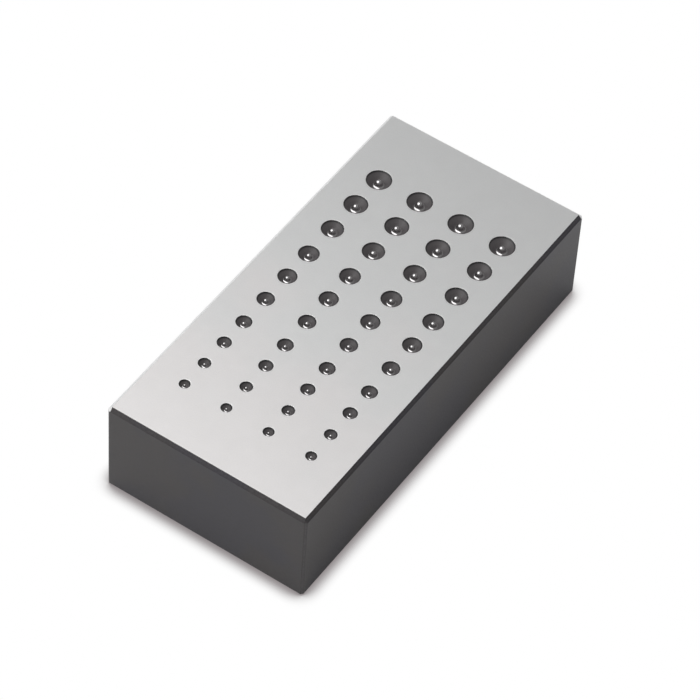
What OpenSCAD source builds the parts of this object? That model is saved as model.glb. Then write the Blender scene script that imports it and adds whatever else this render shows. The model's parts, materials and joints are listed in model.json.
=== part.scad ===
// Beading block: a blackened steel bar with a ground top and rows of conical recesses.
// A hardened, domed pin stands in the middle of each recess, pressed into a blind bore.
// The origin is the middle of the underside. +X is the width, +Y runs from the small
// beads at the front to the large ones at the back, and +Z is up.

/* [Block] */
// Length of the block, from front to back
block_l = 75; // [66:0.5:120]
// Width of the block, from left to right
block_w = 36; // [30:0.5:60]
// Height of the block, from the underside to the ground top
block_h = 18; // [10:0.5:40]
// Break along the four edges of the ground top
top_break = 0.55; // [0.2:0.05:1.5]
// Break along the upright and the bottom edges
edge_break = 0.4; // [0.1:0.05:1.5]

/* [Pattern] */
// Number of columns of recesses, side by side
column_count = 4; // [1:1:4]
// Number of rows of recesses, one bead size to a row
row_count = 10; // [2:1:10]
// Distance between columns
column_pitch = 7.65; // [5:0.05:8.5]
// Distance between rows among the smallest beads
front_pitch = 5.05; // [4.2:0.05:5.4]
// Extra distance between rows in each further group of rows
pitch_growth = 0.65; // [0:0.05:0.8]
// Rows in a group that keeps one distance
group_rows = 3; // [3:1:9]
// Distance from the front face to the first row
front_margin = 10.55; // [3:0.05:11.5]

/* [Recesses] */
// Rim diameter of the smallest recess, at the ground top
rim_d_small = 1.8; // [1.4:0.02:3]
// Rim diameter of the largest recess, at the ground top
rim_d_large = 4.16; // [3:0.02:4.6]

/* [Bead pins] */
// Diameter of the smallest bead
bead_d_small = 0.4; // [0.3:0.02:0.6]
// Diameter of the largest bead
bead_d_large = 1.1; // [0.7:0.02:1.4]
// Depth of every bead's crown below the ground top
crown_depth = 0.15; // [0:0.05:0.5]
// Straight neck under the half-round of every bead
neck_h = 0.1; // [0.02:0.02:0.5]
// Hollow radius at the foot of the smallest bead
foot_r_small = 0.15; // [0.05:0.01:0.3]
// Hollow radius at the foot of the largest bead
foot_r_large = 0.35; // [0.1:0.01:0.6]
// Length of the shank that is pressed into the block
shank_l = 5; // [2:0.1:7]
// Lead chamfer at the lower end of the shank
shank_lead = 0.12; // [0.02:0.02:0.15]
// Radial gap between shank and bore: none, because the pins are pressed in
press_gap = 0; // [0:0.005:0.02]
// Free space under each shank, above the drill point of its bore
bore_relief = 0.4; // [0:0.1:1]
// Included angle of the drill point at the bottom of each bore
drill_angle = 118; // [90:1:140]

/* [Hidden] */
$fn = 64;
// How far a cutter runs on past the surface that it opens
past = 0.5;

block_colour = [0.16, 0.15, 0.16];
pin_colour = [0.86, 0.86, 0.88];

// Sizes count from 1, the smallest, at the front, and columns from "a" at the left
function pin_name(s, c) = str("bead_pin_", s < 10 ? "0" : "", s, "_", chr(96 + c));

// A value that grows evenly from the smallest size to the largest
function graded(small, large, s) = small + (large - small) * (s - 1) / (row_count - 1);

function rim_r(s) = graded(rim_d_small, rim_d_large, s) / 2;
function bead_r(s) = graded(bead_d_small, bead_d_large, s) / 2;
function foot_r(s) = graded(foot_r_small, foot_r_large, s);
function shank_r(s) = bead_r(s) + foot_r(s);
function bore_r(s) = shank_r(s) + press_gap;
function seat_depth(s) = crown_depth + bead_r(s) + neck_h + foot_r(s);
function bore_depth(s) = seat_depth(s) + shank_l + bore_relief;

// Distance from row s to row s + 1, and the place of each recess
function row_pitch(s) = front_pitch + pitch_growth * floor((s - 1) / group_rows);
function row_y(s) = s <= 1 ? front_margin - block_l / 2 : row_y(s - 1) + row_pitch(s - 1);
function column_x(c) = (c - (column_count + 1) / 2) * column_pitch;
function place(s, c) = [column_x(c), row_y(s), block_h];

// Outline of a bar w wide and h high, standing on the X axis, with its corners cut off
function broken_outline(w, h, low, high) = [
    [-w / 2 + low, 0],
    [w / 2 - low, 0],
    [w / 2, low],
    [w / 2, h - high],
    [w / 2 - high, h],
    [-w / 2 + high, h],
    [-w / 2, h - high],
    [-w / 2, low]
];

// The bar without its recesses: three prisms that cross, one along each axis
module bar() {
    intersection() {
        translate([0, block_l / 2, 0])
            rotate([90, 0, 0])
                linear_extrude(block_l)
                    polygon(broken_outline(block_w, block_h, edge_break, top_break));
        translate([-block_w / 2, 0, 0])
            rotate([90, 0, 90])
                linear_extrude(block_w)
                    polygon(broken_outline(block_l, block_h, edge_break, top_break));
        linear_extrude(block_h)
            translate([0, -block_l / 2])
                polygon(broken_outline(block_w, block_l, edge_break, edge_break));
    }
}

// Everything cut away at one place: the cone, the bore and its drill point, with z = 0 at the top
module recess_cutter(s) {
    flare = (rim_r(s) - bore_r(s)) / seat_depth(s);
    point_h = bore_r(s) / tan(drill_angle / 2);
    translate([0, 0, -seat_depth(s)])
        cylinder(r1 = bore_r(s), r2 = rim_r(s) + past * flare, h = seat_depth(s) + past);
    translate([0, 0, -bore_depth(s)])
        cylinder(r = bore_r(s), h = bore_depth(s) - seat_depth(s) / 2);
    translate([0, 0, -bore_depth(s) - point_h])
        cylinder(r1 = 0, r2 = bore_r(s), h = point_h);
}

module block() {
    color(block_colour)
        difference() {
            bar();
            for (s = [1:row_count], c = [1:column_count])
                translate(place(s, c))
                    recess_cutter(s);
        }
}

// Half section of a pin, with z = 0 at the ground top. The neck runs down into the shank,
// and a circle hollows the foot, so that dome, neck and shank are one solid.
module pin_section(s) {
    seat = -seat_depth(s);
    dome = -crown_depth - bead_r(s);
    intersection() {
        translate([0, dome])
            circle(r = bead_r(s));
        translate([0, dome - bead_r(s)])
            square([bead_r(s), 2 * bead_r(s)]);
    }
    translate([0, seat - shank_l / 2])
        square([bead_r(s), dome - seat + shank_l / 2]);
    difference() {
        translate([0, seat - shank_l])
            polygon([
                [0, 0],
                [shank_r(s) - shank_lead, 0],
                [shank_r(s), shank_lead],
                [shank_r(s), shank_l + foot_r(s)],
                [0, shank_l + foot_r(s)]
            ]);
        translate([shank_r(s), seat + foot_r(s)])
            circle(r = foot_r(s));
    }
}

module bead_pin(s, c) {
    color(pin_colour)
        translate(place(s, c))
            rotate_extrude()
                pin_section(s);
}

block();
for (s = [1:row_count], c = [1:column_count])
    bead_pin(s, c);
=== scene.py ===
"""Finished looks of a beading block, laid out as a Blender add-on.

A blackened steel bar has a ground top with forty conical recesses, and a polished, domed
pin stands in each of them. Every length is in metres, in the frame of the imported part.
"""
import json
import math
from collections import namedtuple

import bmesh
import bpy
import numpy as np
from bpy.props import FloatProperty, FloatVectorProperty, IntProperty, PointerProperty
from mathutils import Matrix, Vector


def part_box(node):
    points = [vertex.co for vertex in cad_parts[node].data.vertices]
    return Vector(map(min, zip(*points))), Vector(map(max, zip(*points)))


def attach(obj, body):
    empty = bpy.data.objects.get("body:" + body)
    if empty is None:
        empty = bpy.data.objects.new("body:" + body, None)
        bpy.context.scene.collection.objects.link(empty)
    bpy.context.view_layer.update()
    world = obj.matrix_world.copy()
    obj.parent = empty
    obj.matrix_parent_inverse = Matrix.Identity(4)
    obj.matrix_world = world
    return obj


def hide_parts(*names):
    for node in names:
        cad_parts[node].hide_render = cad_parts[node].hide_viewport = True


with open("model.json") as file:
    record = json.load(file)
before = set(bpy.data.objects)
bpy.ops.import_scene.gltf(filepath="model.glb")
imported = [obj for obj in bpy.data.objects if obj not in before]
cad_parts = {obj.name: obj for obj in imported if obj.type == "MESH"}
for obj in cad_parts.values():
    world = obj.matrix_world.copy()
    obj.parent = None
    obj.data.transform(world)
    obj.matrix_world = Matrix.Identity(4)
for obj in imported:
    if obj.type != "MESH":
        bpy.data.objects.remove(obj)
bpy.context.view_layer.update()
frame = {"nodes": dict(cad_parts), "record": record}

bl_info = {
    "name": "Beading block",
    "version": (1, 0, 0),
    "blender": (4, 5, 0),
    "location": "3D View > Sidebar > Beading block",
    "description": "Finished pieces, steels and studio of a beading block",
    "category": "Object",
}

MM = 0.001
BODY = "root"
PIN_PREFIX = "bead_pin_"
SEAT_PREFIX = "tool_seat_"
# Corners of the frame's meshes closer than this lie in one plane
SAME_PLANE = 0.001 * MM
# Points of neighbouring sheets closer than this become one
WELD = 0.0002 * MM
# Distance from a bend to the row of points that keeps the flat beside it flat
HOLD = 0.02 * MM
# Recess offset of the faces that lie round no recess
FAR_AWAY = (1.0, 1.0)
# Slots of the block's materials
GROUND, OXIDE, RECESS = range(3)
# Decimals of a metre to which the places of columns and rows are rounded
PLACE_DECIMALS = 6

# Mean of a noise, from which it swings both ways
NOISE_MIDDLE = 0.5
# Widths of the slow changes of tone on the ground top, and of colour on the oxide
GROUND_CLOUD, GROUND_PATCH, OXIDE_CLOUD = 14 * MM, 2.4 * MM, 11 * MM
# Widths of the turned rings and of the grain on a recess's wall
WALL_RINGS, WALL_GRAIN = 0.07 * MM, 0.15 * MM
# Widths of the turning marks and of the smears on a pin
PIN_MARKS, PIN_SMEAR = 0.02 * MM, 0.12 * MM
# Depths of the bumps
GROUND_BUMP, OXIDE_BUMP, WALL_BUMP, PIN_BUMP = 0.006 * MM, 0.010 * MM, 0.006 * MM, 0.0005 * MM
# Distances between which the ring outside a rim, burnished and painted lighter as a highlight, fades
RING_FADE = (0.04 * MM, 0.26 * MM)
# Distances between which the painted shade, a dark band inside a rim, fades
RIM_SHADE_FADE = (0.10 * MM, 0.34 * MM)
# Distances between which the wear along an edge fades
WEAR_FADE = (0.10 * MM, 0.42 * MM)
# Share by which the ground top grows warmer and lighter for each millimetre towards the front: painted light,
# falling off towards the back
FRONT_LIGHT_PER_MM = 0.012
# Top breaks down from the top between which the left and back bevels, painted bright as a reflection, begin
PAINTED_BEVEL_DOWN = (1.10, 0.95)
# Top breaks in from the side at which those bevels end
PAINTED_BEVEL_IN = 1.2

# Rows of faces across the top's margin, the underside and a recess's cell
MARGIN_ROWS, UNDERSIDE_ROWS, CELL_ROWS = 4, 3, 5
# Share of the rim's bend that keeps the ground finish
GROUND_BEND = 0.2
# Sides of a pin, and steps round its hollow foot and its dome
PIN_SIDES, FOOT_STEPS, DOME_STEPS = 48, 8, 12
# Angle round the foot of the extra row of points that keeps the seat's corner crisp
FOOT_START = 0.03

# Width of the camera's sensor, in millimetres as Blender counts it
SENSOR_WIDTH = 36
# Nearest and furthest that the camera sees
CAMERA_NEAR, CAMERA_FAR = 0.01, 20
# Half the side of the floor
FLOOR_HALF = 2.0
# Sines of the angles above the horizon between which the mirrored room darkens
ROOM_FADE = (0.05, 0.35)
# Open shares of the sky between which the contact shadow fades to white
SHADOW_FADE = (0.45, 1.0)
# Rays that measure the open share at each point
SHADOW_RAYS = 32

BLOCK_LOW, BLOCK_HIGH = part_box("block")
TOP = BLOCK_HIGH.z
Place = namedtuple("Place", "node size x y")


# Places and sizes from the frame

def node_points(node):
    """The corners of a node's mesh, one to a row."""
    vertices = frame["nodes"][node].data.vertices
    points = np.empty(len(vertices) * 3)
    vertices.foreach_get("co", points)
    return points.reshape(-1, 3)


def read_places():
    """Every pin's node, size number and middle, in the order of the nodes' names."""
    places = []
    for node in sorted(name for name in frame["nodes"] if name.startswith(PIN_PREFIX)):
        low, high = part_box(node)
        size = int(node[len(PIN_PREFIX):].split("_")[0])
        places.append(Place(node, size, (low.x + high.x) / 2, (low.y + high.y) / 2))
    return places


def to_hundredth(length):
    """A length rounded to a hundredth of a millimetre."""
    return round(length / MM, 2) * MM


def rim_radius(place):
    """Distance from a recess's middle to the nearest corner of the ground top, on its rim."""
    points = node_points("block")
    top = points[points[:, 2] > TOP - SAME_PLANE]
    return to_hundredth(np.hypot(top[:, 0] - place.x, top[:, 1] - place.y).min())


def bead_radius(place):
    """The radius that the record states for the tool seat of a pin's size."""
    seats = {mount["name"]: mount for mount in frame["record"]["mounts"]}
    return seats[f"{SEAT_PREFIX}{place.size:02d}"]["dims"]["r_mm"] * MM


def shank_radius(place):
    """Half the width of a pin's box."""
    low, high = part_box(place.node)
    return to_hundredth((high.x - low.x) / 2)


PLACES = read_places()
SIZE_COUNT = PLACES[-1].size
FIRST, LAST = PLACES[0], PLACES[-1]


# Sizes, colours and studio that a user may change

def length(name, description, default):
    """A length property, in metres."""
    return FloatProperty(
        name=name, description=description, default=default, min=0.0, precision=5, unit="LENGTH"
    )


def colour(name, description, default):
    """A linear colour property without alpha."""
    return FloatVectorProperty(
        name=name, description=description, default=default, min=0.0, max=1.0, size=3, subtype="COLOR"
    )


def share(name, description, default):
    """A property from 0 to 1."""
    return FloatProperty(
        name=name, description=description, default=default, min=0.0, max=1.0, subtype="FACTOR"
    )


def angle(name, description, degrees):
    """An angle property, given in degrees."""
    return FloatProperty(
        name=name, description=description, default=math.radians(degrees), subtype="ANGLE"
    )


class BeadingSizes(bpy.types.PropertyGroup):
    """Sizes of the block's edges and recesses and of the pins."""

    top_break: length("Top break", "Break along the edges of the ground top", 0.55 * MM)
    edge_break: length("Edge break", "Break along the upright and bottom edges", 0.4 * MM)
    edge_bend: length("Edge bend", "Radius of the soft bend at every edge", 0.07 * MM)
    rim_bend: length("Rim bend", "Radius of the soft bend at a recess's rim", 0.05 * MM)
    seat_bend: length("Seat bend", "Radius of the bends deep in a recess", 0.01 * MM)
    rim_small: length("Smallest rim", "Rim radius of the smallest recess", rim_radius(FIRST))
    rim_large: length("Largest rim", "Rim radius of the largest recess", rim_radius(LAST))
    bead_small: length("Smallest bead", "Radius of the smallest bead", bead_radius(FIRST))
    bead_large: length("Largest bead", "Radius of the largest bead", bead_radius(LAST))
    shank_small: length("Thinnest shank", "Shank radius of the smallest pin", shank_radius(FIRST))
    shank_large: length("Thickest shank", "Shank radius of the largest pin", shank_radius(LAST))
    crown_depth: length(
        "Crown depth", "Depth of the crowns below the top", to_hundredth(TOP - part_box(FIRST.node)[1].z)
    )
    neck: length("Neck", "Straight neck under a bead's half round", 0.1 * MM)
    shank_lead: length("Shank lead", "Lead chamfer at the lower end of a shank", 0.12 * MM)
    bore_relief: length("Bore relief", "Free space under a shank", 0.4 * MM)
    drill_angle: angle("Drill angle", "Included angle of the drill point", 118)
    cell_steps: IntProperty(
        name="Steps to a cell side", description="Quads along each side of a recess's cell",
        default=16, min=4, max=24,
    )


class BeadingFinish(bpy.types.PropertyGroup):
    """Colours and grain of the steels."""

    # The warm colour also carries the painted light at the front of the top
    ground_warm: colour("Ground steel, warm", "Ground top where it is warmest", (0.880, 0.862, 0.858))
    ground_cool: colour("Ground steel, cool", "Ground top where it is coolest", (0.845, 0.850, 0.848))
    # Ring round each rim, burnished and painted lighter as a highlight
    burnish_and_highlight: colour("Burnished steel", "Ring rubbed bright round each recess", (0.97, 0.965, 0.96))
    oxide_warm: colour("Black oxide, warm", "Brown side of the black oxide", (0.030, 0.0255, 0.026))
    oxide_cool: colour("Black oxide, cool", "Blue side of the black oxide", (0.025, 0.0225, 0.029))
    oxide_worn: colour("Worn oxide", "Oxide worn thin along the edges", (0.075, 0.070, 0.076))
    recess_steel: colour("Recess", "Turned wall of a recess", (0.085, 0.078, 0.080))
    # Dark band of painted shade just inside each rim
    recess_rim_shade: colour("Recess rim", "Dark band inside a recess's rim", (0.012, 0.011, 0.012))
    pin_steel: colour("Pin steel", "Polished, hardened steel of the pins", (0.60, 0.585, 0.59))
    ground_grain: length("Ground grain", "Width of the ground top's grain", 0.20 * MM)
    oxide_grain: length("Oxide grain", "Width of the black oxide's grain", 0.34 * MM)
    ground_roughness: share("Ground roughness", "Roughness of the ground top", 0.46)
    oxide_roughness: share("Oxide roughness", "Roughness of the black oxide", 0.40)
    recess_roughness: share("Recess roughness", "Roughness of a recess's wall", 0.40)
    pin_roughness: share("Pin roughness", "Roughness of the beads", 0.08)


class BeadingStudio(bpy.types.PropertyGroup):
    """Camera, lamps and floor."""

    aim: FloatVectorProperty(
        name="Aim", description="Point that the camera looks at", subtype="TRANSLATION", precision=5,
        default=(2.743 * MM, -3.924 * MM, 13.967 * MM),
    )
    camera_turn: angle("Camera turn", "Turn of the camera to the right of the front", 31.511)
    camera_height: angle("Camera height", "Angle of the camera above the horizon", 49.841)
    camera_roll: angle("Camera roll", "Roll of the camera about its line of sight", 3.996)
    camera_distance: length("Camera distance", "From the aim to the camera", 611.2 * MM)
    lens: FloatProperty(
        name="Lens", description="Focal length on a sensor 36 mm wide", default=207.78, unit="CAMERA"
    )
    key_turn: angle("Key turn", "Turn of the key lamp to the right of the front", -58.5)
    key_height: angle("Key height", "Angle of the key lamp above the horizon", 62)
    key_distance: length("Key distance", "From the part to the key lamp", 600 * MM)
    key_reach: angle("Key reach", "Half the angle that the key lamp fills", 36)
    key_light: FloatProperty(name="Key light", description="Radiance of the key lamp", default=1.9)
    fill_light: FloatProperty(name="Fill light", description="Radiance of the room", default=0.42)
    room_dark: FloatProperty(name="Dark room", description="What polished steel sees overhead", default=0.25)
    floor_steel: colour("Floor", "The floor as lamps and steel see it", (0.86, 0.86, 0.86))
    shadow_reach: length("Shadow reach", "Reach of the contact shadow on the floor", 3.0 * MM)
    shadow_tint: colour("Shadow tint", "Colour of the contact shadow at its darkest", (0.30, 0.275, 0.28))


def sizes():
    """The sizes in use."""
    return bpy.context.scene.beading_sizes


def finish():
    """The colours and grain in use."""
    return bpy.context.scene.beading_finish


def studio():
    """The camera, lamps and floor in use."""
    return bpy.context.scene.beading_studio


def graded(small, large, size):
    """A value that grows evenly from the smallest size to the largest."""
    return small + (large - small) * (size - 1) / (SIZE_COUNT - 1)


# Shader nodes

class Wire:
    """An output socket. Operators on it add Math nodes."""

    def __init__(self, nodes, socket):
        self.nodes = nodes
        self.socket = socket

    def math(self, operation, *values):
        """A Math node of these values, in this order."""
        return self.nodes.add("Math", {"operation": operation}, dict(enumerate(values)))

    def __add__(self, other):
        return self.math("ADD", self, other)

    def __radd__(self, other):
        return self.math("ADD", other, self)

    def __sub__(self, other):
        return self.math("SUBTRACT", self, other)

    def __rsub__(self, other):
        return self.math("SUBTRACT", other, self)

    def __mul__(self, other):
        return self.math("MULTIPLY", self, other)

    def __rmul__(self, other):
        return self.math("MULTIPLY", other, self)

    def __truediv__(self, other):
        return self.math("DIVIDE", self, other)

    def __abs__(self):
        return self.math("ABSOLUTE", self)

    def least(self, other):
        """The smaller of two values."""
        return self.math("MINIMUM", self, other)

    def most(self, other):
        """The larger of two values."""
        return self.math("MAXIMUM", self, other)

    def swing(self, amount):
        """How far a noise is from its middle, times an amount."""
        return amount * (self - NOISE_MIDDLE)


class Nodes:
    """The node tree of a material or a world, empty to begin with."""

    # Sockets of a Mix node that holds colours
    MIX_FACTOR, MIX_A, MIX_B, MIX_RESULT = 0, 6, 7, 2

    def __init__(self, tree):
        self.tree = tree
        tree.nodes.clear()

    def add(self, kind, settings=None, inputs=None, output=0):
        """Adds a node: its settings first, then its sockets' values or wires. Gives one output."""
        node = self.tree.nodes.new("ShaderNode" + kind)
        for name, value in (settings or {}).items():
            setattr(node, name, value)
        for socket, value in (inputs or {}).items():
            if isinstance(value, Wire):
                self.tree.links.new(value.socket, node.inputs[socket])
            else:
                node.inputs[socket].default_value = value
        return Wire(self, node.outputs[output]) if node.outputs else None

    def place(self):
        """The point on the object."""
        return self.add("TexCoord", output="Object")

    def along(self, point, axis):
        """A point's coordinate along X, Y or Z."""
        return self.add("SeparateXYZ", inputs={0: point}, output=axis)

    def by_height(self, point):
        """A point moved onto the Z axis, for a pattern that changes only with height."""
        return self.add("CombineXYZ", inputs={"Z": self.along(point, "Z")})

    def noise(self, point, width, detail=2.0, roughness=0.5):
        """Soft noise from 0 to 1, whose blobs are about width wide."""
        settings = {"Vector": point, "Scale": 1 / width, "Detail": detail, "Roughness": roughness}
        return self.add("TexNoise", inputs=settings)

    def ramp(self, value, low, high):
        """A smooth step from 0 at low to 1 at high."""
        inputs = {"Value": value, "From Min": low, "From Max": high}
        return self.add("MapRange", {"interpolation_type": "SMOOTHSTEP"}, inputs)

    def blend(self, factor, first, second):
        """A colour between two colours."""
        inputs = {self.MIX_FACTOR: factor, self.MIX_A: opaque(first), self.MIX_B: opaque(second)}
        return self.add("Mix", {"data_type": "RGBA"}, inputs, self.MIX_RESULT)

    def shade(self, colour_wire, factor):
        """A colour made lighter or darker by a factor."""
        return self.add("VectorMath", {"operation": "SCALE"}, {0: colour_wire, "Scale": factor})

    def bump(self, height, depth, strength):
        """A normal pushed about by a height from 0 to 1 over a depth in metres."""
        return self.add("Bump", inputs={"Height": height, "Distance": depth, "Strength": strength})

    def surface(self, inputs):
        """A Principled surface, wired to the output."""
        shader = self.add("BsdfPrincipled", inputs=inputs)
        self.add("OutputMaterial", inputs={"Surface": shader})


def opaque(value):
    """A colour property as a socket's four numbers. A wire stays as it is."""
    return value if isinstance(value, Wire) else (*value, 1.0)


def new_material(name):
    """An empty node material and its nodes."""
    material = bpy.data.materials.new(name)
    material.use_nodes = True
    return material, Nodes(material.node_tree)


def recess_distance(nodes):
    """Distance outward from a recess's rim, along the top, from the piece's own map."""
    offset = nodes.add("UVMap", {"uv_map": "recess_offset"})
    radius = nodes.add("VectorMath", {"operation": "LENGTH"}, {0: offset}, "Value")
    return radius - nodes.add("Attribute", {"attribute_name": "rim_radius"}, output="Fac")


def ground_steel():
    """The ground top: fine even grain, faint clouds, painted light that turns it warmer and lighter towards
    the front, and a ring round each recess that is burnished and painted lighter as a highlight.
    """
    look = finish()
    material, nodes = new_material("ground_steel")
    point = nodes.place()
    cloud = nodes.noise(point, GROUND_CLOUD, 3.0)
    patch = nodes.noise(point, GROUND_PATCH, 3.0)
    grain = nodes.noise(point, look.ground_grain, 2.0, 0.6)
    speck = nodes.noise(point, 0.6 * look.ground_grain, 1.0)
    # Painted highlight: a ring round each rim, burnished and painted lighter as a halo of light
    ring = 1 - nodes.ramp(recess_distance(nodes), *RING_FADE)
    tone = 1 + grain.swing(0.10) + patch.swing(0.05)
    # Painted light: the top turns warmer and lighter towards the front, as if the lamp fell off towards the
    # back
    warm = nodes.ramp(cloud - FRONT_LIGHT_PER_MM * (nodes.along(point, "Y") / MM), 0.35, 0.85)
    steel = nodes.shade(nodes.blend(warm, look.ground_cool, look.ground_warm), tone)
    nodes.surface({
        "Base Color": nodes.blend(0.85 * ring, steel, look.burnish_and_highlight),
        "Metallic": 1.0,
        "Roughness": look.ground_roughness + grain.swing(0.10) - 0.08 * ring,
        "Normal": nodes.bump(0.65 * grain + 0.35 * speck, GROUND_BUMP, 0.6),
    })
    return material


def black_oxide():
    """Black oxide on the sides, in brown to blue clouds with a grain and edges worn thin.

    The left and back bevels of the top, and only those, are given the ground top's bright steel: a painted
    reflection of the light that they catch.
    """
    look = finish()
    size = sizes()
    material, nodes = new_material("black_oxide")
    point = nodes.place()
    x, y, z = (nodes.along(point, axis) for axis in "XYZ")
    from_side = BLOCK_HIGH.x - abs(x)
    from_end = BLOCK_HIGH.y - abs(y)
    from_level = z.least(TOP - z)
    edge = from_side.most(from_end).least(from_side.most(from_level)).least(from_end.most(from_level))
    cloud = nodes.noise(point, OXIDE_CLOUD, 3.0)
    grain = nodes.noise(point, look.oxide_grain, 3.0, 0.6)
    fine = nodes.noise(point, 0.35 * look.oxide_grain, 2.0)
    worn = (1 - nodes.ramp(edge, *WEAR_FADE)) * nodes.ramp(grain, 0.30, 0.62)
    oxide = nodes.blend(nodes.ramp(cloud, 0.36, 0.62), look.oxide_warm, look.oxide_cool)
    toned = nodes.shade(oxide, 1 + grain.swing(1.1) + fine.swing(0.5))
    below, above = PAINTED_BEVEL_DOWN
    inner = PAINTED_BEVEL_IN * size.top_break
    on_bevel = nodes.ramp(z, TOP - below * size.top_break, TOP - above * size.top_break)
    left = 1 - nodes.ramp(x, BLOCK_LOW.x + size.top_break, BLOCK_LOW.x + inner)
    back = nodes.ramp(y, BLOCK_HIGH.y - inner, BLOCK_HIGH.y - size.top_break)
    # Painted reflection: only the left and back bevels turn to bright ground steel
    bright = on_bevel * left.most(back)
    nodes.surface({
        "Base Color": nodes.blend(bright, nodes.blend(0.6 * worn, toned, look.oxide_worn), look.ground_cool),
        "Metallic": bright,
        "Roughness": look.oxide_roughness + grain.swing(0.22) + 0.06 * bright,
        "Normal": nodes.bump(0.7 * grain + 0.3 * fine, OXIDE_BUMP, 0.55),
    })
    return material


def recess_steel():
    """A turned and darkened wall: fine rings by depth and a dark band of painted shade inside the rim."""
    look = finish()
    material, nodes = new_material("recess_steel")
    point = nodes.place()
    inward = -1 * recess_distance(nodes)
    rings = nodes.noise(nodes.by_height(point), WALL_RINGS, 2.0)
    grain = nodes.noise(point, WALL_GRAIN, 2.0)
    # Painted shade: a dark band just inside the rim
    band = 1 - nodes.ramp(inward, *RIM_SHADE_FADE)
    wall = nodes.shade(
        nodes.blend(band, look.recess_steel, look.recess_rim_shade),
        1 + rings.swing(0.7) + grain.swing(0.5),
    )
    nodes.surface({
        "Base Color": wall,
        "Metallic": 0.0,
        "Roughness": look.recess_roughness + grain.swing(0.2),
        "Normal": nodes.bump(0.7 * rings + 0.3 * grain, WALL_BUMP, 0.6),
    })
    return material


def pin_steel():
    """Polished steel with faint turning marks on bead and foot, ground along the shank."""
    look = finish()
    material, nodes = new_material("pin_steel")
    point = nodes.place()
    marks = nodes.noise(nodes.by_height(point), PIN_MARKS, 1.0)
    smear = nodes.noise(point, PIN_SMEAR, 2.0)
    shank = nodes.add("Attribute", {"attribute_name": "shank"}, output="Fac")
    steel = nodes.blend(shank, look.pin_steel, look.ground_cool)
    nodes.surface({
        "Base Color": nodes.shade(steel, 1 + smear.swing(0.10)),
        "Metallic": 1.0,
        "Roughness": look.pin_roughness + smear.swing(0.05) + 0.2 * shank,
        "Normal": nodes.bump(0.5 * marks + 0.5 * smear, PIN_BUMP, 0.5),
    })
    return material


# Surfaces

def rounded(corners, radii, steps=4):
    """A path whose inner corners are round, with a point HOLD before and after each bend.

    A bend starts a tangent length before its corner, which is the radius times the tangent
    of half the turn. It runs radius * sin(t) along the way in and radius * (1 - cos(t))
    towards the way out, with t from 0 to the turn.
    """
    corners = np.asarray(corners, float)
    path = [corners[:1]]
    for before, corner, after, radius in zip(corners, corners[1:], corners[2:], radii):
        way_in = (corner - before) / np.linalg.norm(corner - before)
        way_out = (after - corner) / np.linalg.norm(after - corner)
        turn = math.acos(np.clip(way_in @ way_out, -1, 1))
        across = way_out - (way_in @ way_out) * way_in
        across /= np.linalg.norm(across)
        reach = radius * math.tan(turn / 2)
        t = np.linspace(0, turn, steps + 1)[:, None]
        bend = corner - way_in * reach + radius * (np.sin(t) * way_in + (1 - np.cos(t)) * across)
        path += [bend[:1] - HOLD * way_in, bend, bend[-1:] + HOLD * way_out]
    return np.concatenate(path + [corners[-1:]])


def turned(profile, place, start, count):
    """A profile of radius and height carried round a place, as rows of count + 1 points.

    A point is (x + r cos(a), y + r sin(a), z), with the angle a from start through a full turn.
    """
    angles = start + np.linspace(0, 2 * math.pi, count + 1)
    radius, height = profile[:, :1], profile[:, 1:]
    return np.stack([
        place.x + radius * np.cos(angles),
        place.y + radius * np.sin(angles),
        height + 0 * angles,
    ], axis=-1)


def between(outer, inner, steps):
    """Rows of points that go evenly from an outer line to an inner line."""
    share_in = np.linspace(0, 1, steps + 1)[:, None, None]
    return (1 - share_in) * outer + share_in * inner


class Sheets:
    """Grids of points that become one welded mesh."""

    def __init__(self):
        self.points = []
        self.faces = []
        self.slots = []
        self.offsets = []
        self.rims = []
        self.count = 0

    def add(self, grid, slots=0, place=None, rim=0.0):
        """Adds a grid whose columns go round to the left of its rows, seen from outside.

        slots is one material slot or one for each row of faces. A place and a rim radius
        give each corner its offset from that recess.
        """
        rows, columns = grid.shape[:2]
        row, column = np.meshgrid(np.arange(rows - 1), np.arange(columns - 1), indexing="ij")
        first = (self.count + row * columns + column).ravel()
        self.points.append(grid.reshape(-1, 3))
        self.faces.append(np.stack([first, first + 1, first + columns + 1, first + columns], axis=-1))
        self.slots.append(np.repeat(np.broadcast_to(slots, rows - 1), columns - 1))
        middle = (place.x, place.y) if place else (0, 0)
        offset = grid[..., :2] - middle if place else np.broadcast_to(FAR_AWAY, (rows, columns, 2))
        self.offsets.append(offset.reshape(-1, 2))
        self.rims.append(np.full(len(first), rim))
        self.count += rows * columns

    def mesh(self, name):
        """The welded mesh, with its recess offsets as a map and its rim radii as an attribute."""
        points, faces = np.concatenate(self.points), np.concatenate(self.faces)
        mesh = bpy.data.meshes.new(name)
        mesh.vertices.add(len(points))
        mesh.vertices.foreach_set("co", points.ravel())
        mesh.loops.add(faces.size)
        mesh.loops.foreach_set("vertex_index", faces.ravel())
        mesh.polygons.add(len(faces))
        mesh.polygons.foreach_set("loop_start", np.arange(len(faces)) * 4)
        mesh.polygons.foreach_set("material_index", np.concatenate(self.slots))
        mesh.update(calc_edges=True)
        offsets = np.concatenate(self.offsets)[faces.ravel()]
        mesh.uv_layers.new(name="recess_offset").data.foreach_set("uv", offsets.ravel())
        rims = mesh.attributes.new("rim_radius", "FLOAT", "FACE")
        rims.data.foreach_set("value", np.concatenate(self.rims))
        welded = bmesh.new()
        welded.from_mesh(mesh)
        bmesh.ops.remove_doubles(welded, verts=welded.verts, dist=WELD)
        welded.to_mesh(mesh)
        welded.free()
        mesh.shade_smooth()
        return mesh


def new_piece(name, mesh, materials, slot, *nodes):
    """A finished piece on the one body, in place of the nodes that it stands for."""
    piece = bpy.data.objects.new(name, mesh)
    bpy.context.scene.collection.objects.link(piece)
    for material in materials:
        mesh.materials.append(material)
    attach(piece, BODY)
    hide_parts(*nodes)


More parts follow.
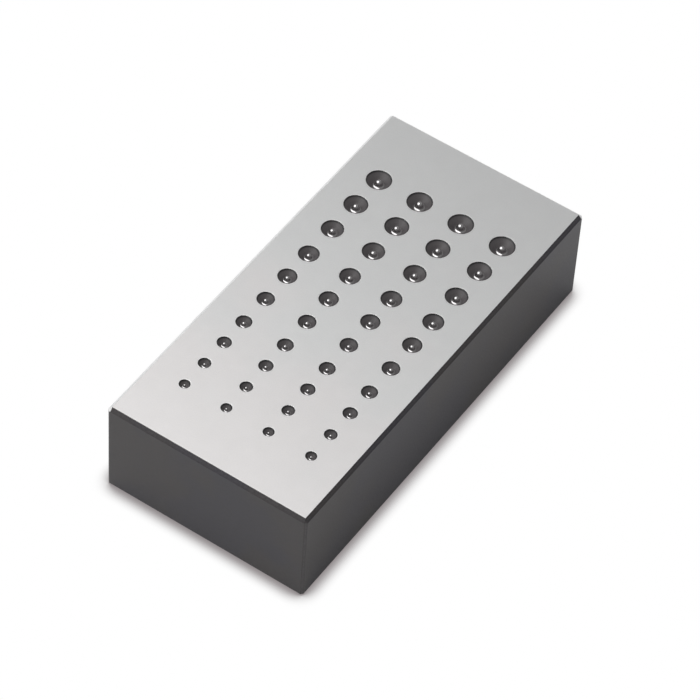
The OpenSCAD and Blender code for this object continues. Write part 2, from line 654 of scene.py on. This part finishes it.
def recess_profile(place):
    """Radius and height of a recess, from the top inwards: rim, cone, bore and drill point."""
    size = sizes()
    bead = graded(size.bead_small, size.bead_large, place.size)
    shank = graded(size.shank_small, size.shank_large, place.size)
    rim = graded(size.rim_small, size.rim_large, place.size)
    seat = TOP - size.crown_depth - bead - size.neck - (shank - bead)
    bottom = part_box(place.node)[0].z - size.bore_relief
    point = shank / math.tan(size.drill_angle / 2)
    corners = [(2 * rim, TOP), (rim, TOP), (shank, seat), (shank, bottom), (0, bottom - point)]
    path = rounded(corners, [size.rim_bend, size.seat_bend, size.seat_bend])
    return path[1:], rim


def cell_bounds(centres):
    """Borders of the cells round sorted centres: half way between neighbours, and as far outside."""
    middles = (centres[1:] + centres[:-1]) / 2
    first = 2 * centres[0] - middles[0]
    last = 2 * centres[-1] - middles[-1]
    return np.concatenate([[first], middles, [last]])


def cell_outline(low_x, high_x, low_y, high_y, steps):
    """Points round a cell, anticlockwise from its front left corner back to it."""
    along = np.linspace(0, 1, steps + 1)[:-1]
    x = low_x + (high_x - low_x) * along
    y = low_y + (high_y - low_y) * along
    back_x = high_x + (low_x - high_x) * along
    back_y = high_y + (low_y - high_y) * along
    sides = [(x, low_y + 0 * x), (high_x + 0 * y, y), (back_x, high_y + 0 * x), (low_x + 0 * y, back_y)]
    outline = np.concatenate([np.stack(side, axis=-1) for side in sides] + [[[low_x, low_y]]])
    return np.column_stack([outline, np.full(len(outline), TOP)])


Outline = namedtuple("Outline", "side cut bend inner")


def outline_terms(inner_x, inner_y, bend_steps=3):
    """The block's outline as terms, anticlockwise from the front left corner back to it.

    A point of the outline is side * (half size - bend) + cut * corner cut + bend radius * bend.
    Along a side, side goes from -1 to 1. Round a corner, bend turns through two eighths of a
    circle, with the corner cut between them. inner is the matching point on the cells' border.
    """
    close = HOLD / BLOCK_HIGH.x
    eighth = math.pi / 4
    step = np.linspace(0, eighth, bend_steps + 1)
    terms = []

    def side_terms(inner, axis, outward, backward):
        """The two ends of a side, the points that hold them and those on the cells' border."""
        along = 2 * (inner - inner[0]) / (inner[-1] - inner[0]) - 1
        along = np.concatenate([[-1, -1 + close], along[1:-1], [1 - close, 1]])
        inner = np.concatenate([[inner[0]] * 2, inner[1:-1], [inner[-1]] * 2])
        if backward:
            along, inner = along[::-1], inner[::-1]
        side, cut, bend, border = (np.zeros((len(along), 2)) for _ in range(4))
        other = 1 - axis
        side[:, axis], side[:, other] = along, outward
        cut[:, axis] = -along
        bend[:, other] = outward
        border[:, axis] = inner
        border[:, other] = (inner_x, inner_y)[other][0 if outward < 0 else -1]
        terms.append((side, cut, bend, border))

    def corner_terms(sign_x, sign_y, axis, start):
        """The two bends of a corner, without their outer ends. The first leaves the side on axis."""
        for turn, cut_axis in ((start + step[1:], axis), (start + eighth + step[:-1], 1 - axis)):
            side = np.tile((float(sign_x), float(sign_y)), (bend_steps, 1))
            cut = np.zeros((bend_steps, 2))
            cut[:, cut_axis] = -side[:, cut_axis]
            bend = np.stack([np.cos(turn), np.sin(turn)], axis=-1)
            corner = (inner_x[0 if sign_x < 0 else -1], inner_y[0 if sign_y < 0 else -1])
            terms.append((side, cut, bend, np.tile(corner, (bend_steps, 1))))

    side_terms(inner_x, 0, -1, False)
    corner_terms(1, -1, 0, -math.pi / 2)
    side_terms(inner_y, 1, 1, False)
    corner_terms(1, 1, 1, 0)
    side_terms(inner_x, 0, 1, True)
    corner_terms(-1, 1, 0, math.pi / 2)
    side_terms(inner_y, 1, -1, True)
    corner_terms(-1, -1, 1, math.pi)
    joined = [np.concatenate(kind) for kind in zip(*terms)]
    return Outline(*(np.concatenate([kind, kind[:1]]) for kind in joined))


def block_skin(outline):
    """The bar's sides and bevels: a profile of inset and height carried round the outline.

    The half sizes shrink by the inset. The upright break is cut off the corners, and shrinks
    by twice the inset where a bevel runs into it.
    """
    size = sizes()
    corners = [
        (2 * size.edge_break, 0),
        (size.edge_break, 0),
        (0, size.edge_break),
        (0, TOP - size.top_break),
        (size.top_break, TOP),
        (2 * size.top_break, TOP),
    ]
    profile = rounded(corners, [size.edge_bend] * 4)[1:-1]
    inset, height = profile[:, 0], profile[:, 1]
    halves = np.array([BLOCK_HIGH.x, BLOCK_HIGH.y]) - inset[:, None] - size.edge_bend
    # An octagon's edge keeps its distance from the corner when both are inset by the bend
    cut = np.maximum(0, size.edge_break - 2 * inset) - size.edge_bend * (2 - math.sqrt(2))
    cut = np.maximum(0, cut)[:, None, None]
    flat = outline.side * halves[:, None, :] + outline.cut * cut + outline.bend * size.edge_bend
    skin = np.concatenate([flat, np.broadcast_to(height[:, None, None], flat.shape[:2] + (1,))], axis=-1)
    on_top = np.minimum(height[1:], height[:-1]) > TOP - SAME_PLANE
    return skin, np.where(on_top, GROUND, OXIDE)


def block_mesh():
    """The whole block, closed: skin, underside, the top's margin, and a cell to each recess."""
    steps = sizes().cell_steps
    columns = np.unique(np.round([place.x for place in PLACES], PLACE_DECIMALS))
    rows = np.unique(np.round([place.y for place in PLACES], PLACE_DECIMALS))
    bounds_x, bounds_y = cell_bounds(columns), cell_bounds(rows)
    border_x, border_y = (
        np.interp(np.arange((len(bounds) - 1) * steps + 1) / steps, np.arange(len(bounds)), bounds)
        for bounds in (bounds_x, bounds_y)
    )
    outline = outline_terms(border_x, border_y)
    sheets = Sheets()
    skin, skin_slots = block_skin(outline)
    sheets.add(skin, skin_slots)
    border = np.column_stack([outline.inner, np.full(len(outline.inner), TOP)])
    sheets.add(between(skin[-1], border, MARGIN_ROWS), GROUND)
    middle = np.zeros_like(skin[0])
    sheets.add(between(middle, skin[0], UNDERSIDE_ROWS), OXIDE)
    for place in PLACES:
        i = np.argmin(abs(columns - place.x))
        j = np.argmin(abs(rows - place.y))
        profile, rim = recess_profile(place)
        recess = turned(profile, place, -3 * math.pi / 4, 4 * steps)
        outer = cell_outline(*bounds_x[i:i + 2], *bounds_y[j:j + 2], steps)
        sheets.add(between(outer, recess[0], CELL_ROWS), GROUND, place, rim)
        flat_rim = profile[1:, 1] > TOP - GROUND_BEND * sizes().rim_bend
        sheets.add(recess, np.where(flat_rim, GROUND, RECESS), place, rim)
    return sheets.mesh("block_body")


def pin_profile(place):
    """Radius and height of a pin, from the middle of its lower end up to its crown.

    The hollow foot is a quarter circle about the shank's rim, and the dome a quarter circle
    about the pin's axis.
    """
    size = sizes()
    bead = graded(size.bead_small, size.bead_large, place.size)
    shank = graded(size.shank_small, size.shank_large, place.size)
    foot = shank - bead
    dome_z = TOP - size.crown_depth - bead
    seat = dome_z - size.neck - foot
    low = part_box(place.node)[0].z
    corners = [(0, low), (shank - size.shank_lead, low), (shank, low + size.shank_lead), (shank, seat)]
    shaft = rounded(corners, [size.seat_bend] * 2, 1)
    hollow = np.concatenate([[0.0, FOOT_START], np.linspace(0, math.pi / 2, FOOT_STEPS + 1)[1:]])[:, None]
    foot_path = np.hstack([shank - foot * np.sin(hollow), seat + foot * (1 - np.cos(hollow))])
    rise = np.linspace(0, math.pi / 2, DOME_STEPS + 1)[:, None]
    dome = np.hstack([bead * np.cos(rise), dome_z + bead * np.sin(rise)])
    dome[-1, 0] = 0
    shank_rows = len(shaft) - 1
    return np.concatenate([shaft[:-1], [[shank, seat - HOLD]], foot_path, dome]), shank_rows


def pin_mesh(place):
    """One pin, turned from its profile. The attribute shank is 1 on the faces below the seat."""
    profile, shank_rows = pin_profile(place)
    sheets = Sheets()
    sheets.add(turned(profile, place, 0, PIN_SIDES))
    mesh = sheets.mesh(place.node)
    heights = np.empty(len(mesh.polygons) * 3)
    mesh.polygons.foreach_get("center", heights)
    shank = mesh.attributes.new("shank", "FLOAT", "FACE")
    below = heights.reshape(-1, 3)[:, 2] < profile[shank_rows, 1]
    shank.data.foreach_set("value", below.astype(float))
    return mesh


# Studio

def bearing(turn, height):
    """Direction from the part: turn is to the right of the front, height above the horizon."""
    level = math.cos(height)
    return Vector((math.sin(turn) * level, -math.cos(turn) * level, math.sin(height)))


def add_camera():
    """The camera, at the photographed angle."""
    set_up = studio()
    data = bpy.data.cameras.new("camera")
    data.sensor_width = SENSOR_WIDTH
    data.lens = set_up.lens
    data.clip_start, data.clip_end = CAMERA_NEAR, CAMERA_FAR
    camera = bpy.data.objects.new("camera", data)
    bpy.context.scene.collection.objects.link(camera)
    outward = bearing(set_up.camera_turn, set_up.camera_height)
    upright = outward.to_track_quat("Z", "Y").to_matrix()
    rolled = upright @ Matrix.Rotation(set_up.camera_roll, 3, "Z")
    place = Vector(set_up.aim) + outward * set_up.camera_distance
    camera.matrix_world = Matrix.Translation(place) @ rolled.to_4x4()
    bpy.context.scene.camera = camera


def add_key():
    """The key lamp: a round softbox whose radiance and angular size are given."""
    set_up = studio()
    radius = set_up.key_distance * math.tan(set_up.key_reach)
    data = bpy.data.lights.new("key", "AREA")
    data.shape = "DISK"
    data.size = 2 * radius
    # A disc of radiance L gives off pi * L on each square metre
    data.energy = set_up.key_light * math.pi * math.pi * radius ** 2
    lamp = bpy.data.objects.new("key", data)
    bpy.context.scene.collection.objects.link(lamp)
    outward = bearing(set_up.key_turn, set_up.key_height)
    facing = outward.to_track_quat("Z", "Y").to_matrix().to_4x4()
    lamp.matrix_world = Matrix.Translation(outward * set_up.key_distance) @ facing
    lamp.visible_camera = False


def add_room():
    """The room: white to the camera and low down, darker overhead in steel, and a soft fill."""
    set_up = studio()
    world = bpy.data.worlds.new("room")
    world.use_nodes = True
    nodes = Nodes(world.node_tree)
    direction = nodes.add("TexCoord", output="Generated")
    rise = nodes.along(direction, "Z")
    camera = nodes.add("LightPath", output="Is Camera Ray")
    mirrored = nodes.add("LightPath", output="Is Glossy Ray").most(
        nodes.add("LightPath", output="Is Transmission Ray")
    )
    dark = nodes.ramp(rise, *ROOM_FADE)
    seen = 1 + dark * (set_up.room_dark - 1)
    level = mirrored * seen + (1 - mirrored) * set_up.fill_light
    level = camera + (1 - camera) * level
    shader = nodes.add("Background", inputs={"Color": (1.0, 1.0, 1.0, 1.0), "Strength": level})
    nodes.add("OutputWorld", inputs={"Surface": shader})
    bpy.context.scene.world = world


def add_floor():
    """A plain pale floor: white to the camera apart from the contact shadow, plain to the rest."""
    set_up = studio()
    corner = np.linspace(-FLOOR_HALF, FLOOR_HALF, 3)
    x, y = np.meshgrid(corner, corner)
    sheets = Sheets()
    sheets.add(np.stack([x, y, np.full_like(x, -HOLD)], axis=-1))
    mesh = sheets.mesh("floor")
    material, nodes = new_material("floor_paper")
    open_share = nodes.add(
        "AmbientOcclusion", {"samples": SHADOW_RAYS}, {"Distance": set_up.shadow_reach}, "AO"
    )
    camera = nodes.add("LightPath", output="Is Camera Ray")
    light = nodes.ramp(open_share, *SHADOW_FADE)
    white = nodes.add(
        "Emission", inputs={"Color": nodes.blend(light, set_up.shadow_tint, (1.0, 1.0, 1.0)), "Strength": 1.0}
    )
    plain = nodes.add("BsdfDiffuse", inputs={"Color": opaque(set_up.floor_steel)})
    shader = nodes.add("MixShader", inputs={0: camera, 1: plain, 2: white})
    nodes.add("OutputMaterial", inputs={"Surface": shader})
    floor = bpy.data.objects.new("floor", mesh)
    bpy.context.scene.collection.objects.link(floor)
    mesh.materials.append(material)


# Operators

class BEADING_OT_stage(bpy.types.Operator):
    """Adds the camera, the lamp, the room and the floor"""

    bl_idname = "beading.stage"
    bl_label = "Studio"

    def execute(self, context):
        """Builds the studio."""
        context.scene.view_settings.view_transform = "Standard"
        add_camera()
        add_key()
        add_room()
        add_floor()
        return {"FINISHED"}


class BEADING_OT_block_body(bpy.types.Operator):
    """Adds the steel block with its ground top, black sides and forty recesses"""

    bl_idname = "beading.block_body"
    bl_label = "Block"

    def execute(self, context):
        """Builds the block and its three finishes."""
        materials = [ground_steel(), black_oxide(), recess_steel()]
        new_piece("block_body", block_mesh(), materials, "blackened_steel", "block")
        return {"FINISHED"}


class BEADING_OT_bead_pins(bpy.types.Operator):
    """Adds the forty domed pins"""

    bl_idname = "beading.bead_pins"
    bl_label = "Bead pins"

    def execute(self, context):
        """Builds one pin in each recess."""
        steel = pin_steel()
        for place in PLACES:
            piece = "polished_" + place.node[len("bead_"):]
            new_piece(piece, pin_mesh(place), [steel], "polished_steel", place.node)
        return {"FINISHED"}


class BEADING_PT_sidebar(bpy.types.Panel):
    """Lists the pieces and their sizes, finishes and studio"""

    bl_label = "Beading block"
    bl_idname = "BEADING_PT_sidebar"
    bl_space_type = "VIEW_3D"
    bl_region_type = "UI"
    bl_category = "Beading block"

    def draw(self, context):
        """Draws a button for each operator, then every property."""
        for operator in OPERATORS:
            self.layout.operator(operator.bl_idname)
        for group in GROUPS:
            box = self.layout.box()
            held = getattr(context.scene, group)
            for name in held.bl_rna.properties.keys():
                if name not in ("rna_type", "name"):
                    box.prop(held, name)


GROUPS = {
    "beading_sizes": BeadingSizes,
    "beading_finish": BeadingFinish,
    "beading_studio": BeadingStudio,
}
OPERATORS = (BEADING_OT_stage, BEADING_OT_block_body, BEADING_OT_bead_pins)


def register():
    """Registers the property groups, the operators and the panel."""
    for name, group in GROUPS.items():
        bpy.utils.register_class(group)
        setattr(bpy.types.Scene, name, PointerProperty(type=group))
    for operator in OPERATORS:
        bpy.utils.register_class(operator)
    bpy.utils.register_class(BEADING_PT_sidebar)


def unregister():
    """Takes everything back that register added."""
    bpy.utils.unregister_class(BEADING_PT_sidebar)
    for operator in reversed(OPERATORS):
        bpy.utils.unregister_class(operator)
    for name, group in GROUPS.items():
        delattr(bpy.types.Scene, name)
        bpy.utils.unregister_class(group)


def main():
    """Builds everything in order."""
    register()
    bpy.ops.beading.stage()
    bpy.ops.beading.block_body()
    bpy.ops.beading.bead_pins()


if __name__ == "__main__":
    main()
